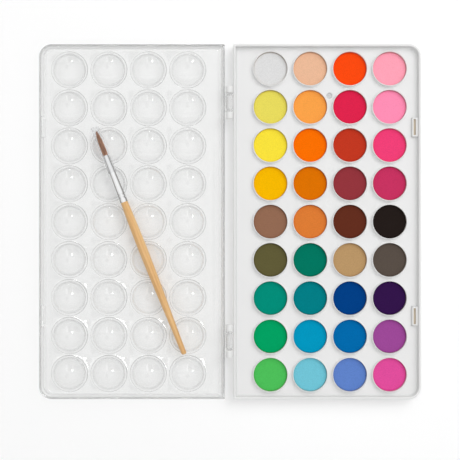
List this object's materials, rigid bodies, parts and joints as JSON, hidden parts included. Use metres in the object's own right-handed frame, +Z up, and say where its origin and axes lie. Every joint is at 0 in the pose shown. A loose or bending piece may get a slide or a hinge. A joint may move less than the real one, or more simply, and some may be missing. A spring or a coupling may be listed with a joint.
{
  "type": "watercolor pan set",
  "caption": "Hinged plastic watercolor case lying open, with round paint pans in its base, mixing wells in a clear lid and a loose brush with a tip sleeve.",
  "frame": {"origin": "middle of the open case's bounding box, at its lowest face, which rests on the table", "axes": "+X from the lid to the base across both open halves, +Y along the hinge, away from the brush's blunt end, +Z up out of the two hollows"},
  "size_m": [0.2582, 0.24, 0.0127],
  "materials": {
    "white_case": "white moulded polystyrene, satin",
    "white_tray": "white moulded polystyrene, fine satin",
    "white_cup": "white moulded plastic, satin",
    "clear_lid": "clear moulded polystyrene, glossy",
    "clear_sleeve": "clear soft plastic tube, glossy",
    "hair": "fine brown brush hair",
    "ferrule": "polished drawn metal",
    "varnished_wood": "pale wood under clear lacquer",
    "paint_white": "dry pressed watercolor cake, matt",
    "paint_peach": "dry pressed watercolor cake, matt",
    "paint_vermilion": "dry pressed watercolor cake, matt",
    "paint_light_pink": "dry pressed watercolor cake, matt",
    "paint_lemon": "dry pressed watercolor cake, matt",
    "paint_light_orange": "dry pressed watercolor cake, matt",
    "paint_crimson": "dry pressed watercolor cake, matt",
    "paint_pink": "dry pressed watercolor cake, matt",
    "paint_yellow": "dry pressed watercolor cake, matt",
    "paint_orange": "dry pressed watercolor cake, matt",
    "paint_brick_red": "dry pressed watercolor cake, matt",
    "paint_hot_pink": "dry pressed watercolor cake, matt",
    "paint_golden_yellow": "dry pressed watercolor cake, matt",
    "paint_ochre": "dry pressed watercolor cake, matt",
    "paint_maroon": "dry pressed watercolor cake, matt",
    "paint_raspberry": "dry pressed watercolor cake, matt",
    "paint_taupe": "dry pressed watercolor cake, matt",
    "paint_terracotta": "dry pressed watercolor cake, matt",
    "paint_dark_brown": "dry pressed watercolor cake, matt",
    "paint_black": "dry pressed watercolor cake, matt",
    "paint_olive": "dry pressed watercolor cake, matt",
    "paint_deep_green": "dry pressed watercolor cake, matt",
    "paint_tan": "dry pressed watercolor cake, matt",
    "paint_warm_grey": "dry pressed watercolor cake, matt",
    "paint_sea_green": "dry pressed watercolor cake, matt",
    "paint_teal": "dry pressed watercolor cake, matt",
    "paint_navy": "dry pressed watercolor cake, matt",
    "paint_dark_purple": "dry pressed watercolor cake, matt",
    "paint_green": "dry pressed watercolor cake, matt",
    "paint_cyan_blue": "dry pressed watercolor cake, matt",
    "paint_blue": "dry pressed watercolor cake, matt",
    "paint_purple": "dry pressed watercolor cake, matt",
    "paint_light_green": "dry pressed watercolor cake, matt",
    "paint_light_cyan": "dry pressed watercolor cake, matt",
    "paint_periwinkle": "dry pressed watercolor cake, matt",
    "paint_magenta": "dry pressed watercolor cake, matt"
  },
  "bodies": {
    "base": {"base_shell": "white_case", "pan_tray": "white_tray", "pan_cups_row_1": "white_cup", "pan_cups_row_2": "white_cup", "pan_cups_row_3": "white_cup", "pan_cups_row_4": "white_cup", "pan_cups_row_5": "white_cup", "pan_cups_row_6": "white_cup", "pan_cups_row_7": "white_cup", "pan_cups_row_8": "white_cup", "pan_cups_row_9": "white_cup", "paint_white": "paint_white", "paint_peach": "paint_peach", "paint_vermilion": "paint_vermilion", "paint_light_pink": "paint_light_pink", "paint_lemon": "paint_lemon", "paint_light_orange": "paint_light_orange", "paint_crimson": "paint_crimson", "paint_pink": "paint_pink", "paint_yellow": "paint_yellow", "paint_orange": "paint_orange", "paint_brick_red": "paint_brick_red", "paint_hot_pink": "paint_hot_pink", "paint_golden_yellow": "paint_golden_yellow", "paint_ochre": "paint_ochre", "paint_maroon": "paint_maroon", "paint_raspberry": "paint_raspberry", "paint_taupe": "paint_taupe", "paint_terracotta": "paint_terracotta", "paint_dark_brown": "paint_dark_brown", "paint_black": "paint_black", "paint_olive": "paint_olive", "paint_deep_green": "paint_deep_green", "paint_tan": "paint_tan", "paint_warm_grey": "paint_warm_grey", "paint_sea_green": "paint_sea_green", "paint_teal": "paint_teal", "paint_navy": "paint_navy", "paint_dark_purple": "paint_dark_purple", "paint_green": "paint_green", "paint_cyan_blue": "paint_cyan_blue", "paint_blue": "paint_blue", "paint_purple": "paint_purple", "paint_light_green": "paint_light_green", "paint_light_cyan": "paint_light_cyan", "paint_periwinkle": "paint_periwinkle", "paint_magenta": "paint_magenta"},
    "lid": {"lid_shell": "clear_lid"},
    "brush": {"brush_hair": "hair", "brush_ferrule": "ferrule", "brush_handle": "varnished_wood"},
    "tip_sleeve": {"brush_tip_sleeve": "clear_sleeve"}
  },
  "joints": [
    {"name": "lid_hinge", "type": "hinge", "parent": "base", "child": "lid", "pos_m": [-0.0005, 0, 0.01035], "axis": [0, 1, 0], "range_deg": [0, 180]},
    {"name": "brush_slide", "type": "slide", "parent": "lid", "child": "brush", "axis": [0.3681, -0.9298, 0], "range_m": [-0.015, 0.026]},
    {"name": "sleeve_slide", "type": "slide", "parent": "brush", "child": "tip_sleeve", "axis": [-0.3681, 0.9298, 0], "range_m": [0, 0.036]}
  ]
}
